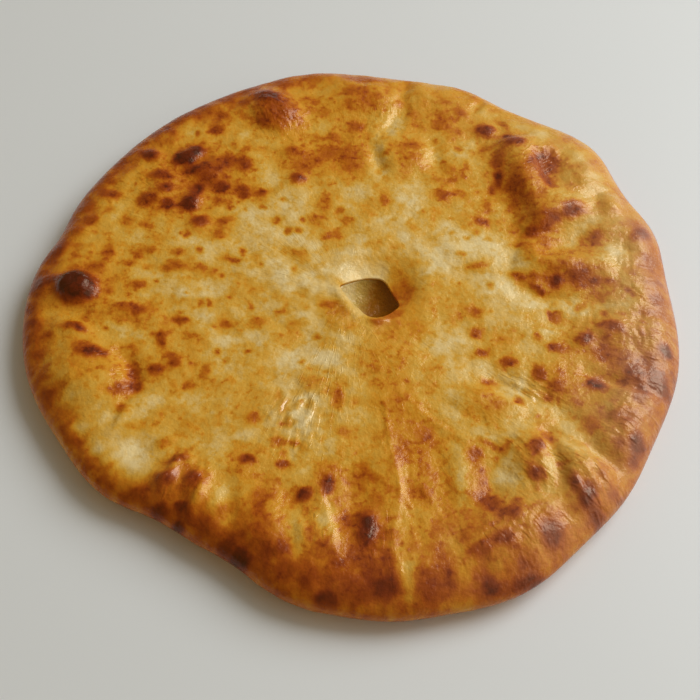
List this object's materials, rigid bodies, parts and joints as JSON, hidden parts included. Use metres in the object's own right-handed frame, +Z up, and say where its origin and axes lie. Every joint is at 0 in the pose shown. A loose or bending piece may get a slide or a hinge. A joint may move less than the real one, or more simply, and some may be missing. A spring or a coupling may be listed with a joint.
{
  "type": "potato pie",
  "caption": "Flat round baked potato pie with a pleated golden crust, scorched blisters and a torn steam vent that shows the mashed potato inside.",
  "frame": {"origin": "on the surface the pie rests on, under the middle of its outline", "axes": "+Z up through the thickness; +Y away from the viewer, so the flattened stretch of the edge lies front left (-X, -Y) and the thick folded pad lies back right (+X, +Y)"},
  "size_m": [0.3217, 0.3281, 0.0254],
  "materials": {
    "crust": "buttered golden dough, browned and blistered",
    "potato": "moist mashed potato"
  },
  "bodies": {
    "root": {"crust": "crust", "potato_filling": "potato"}
  },
  "joints": []
}
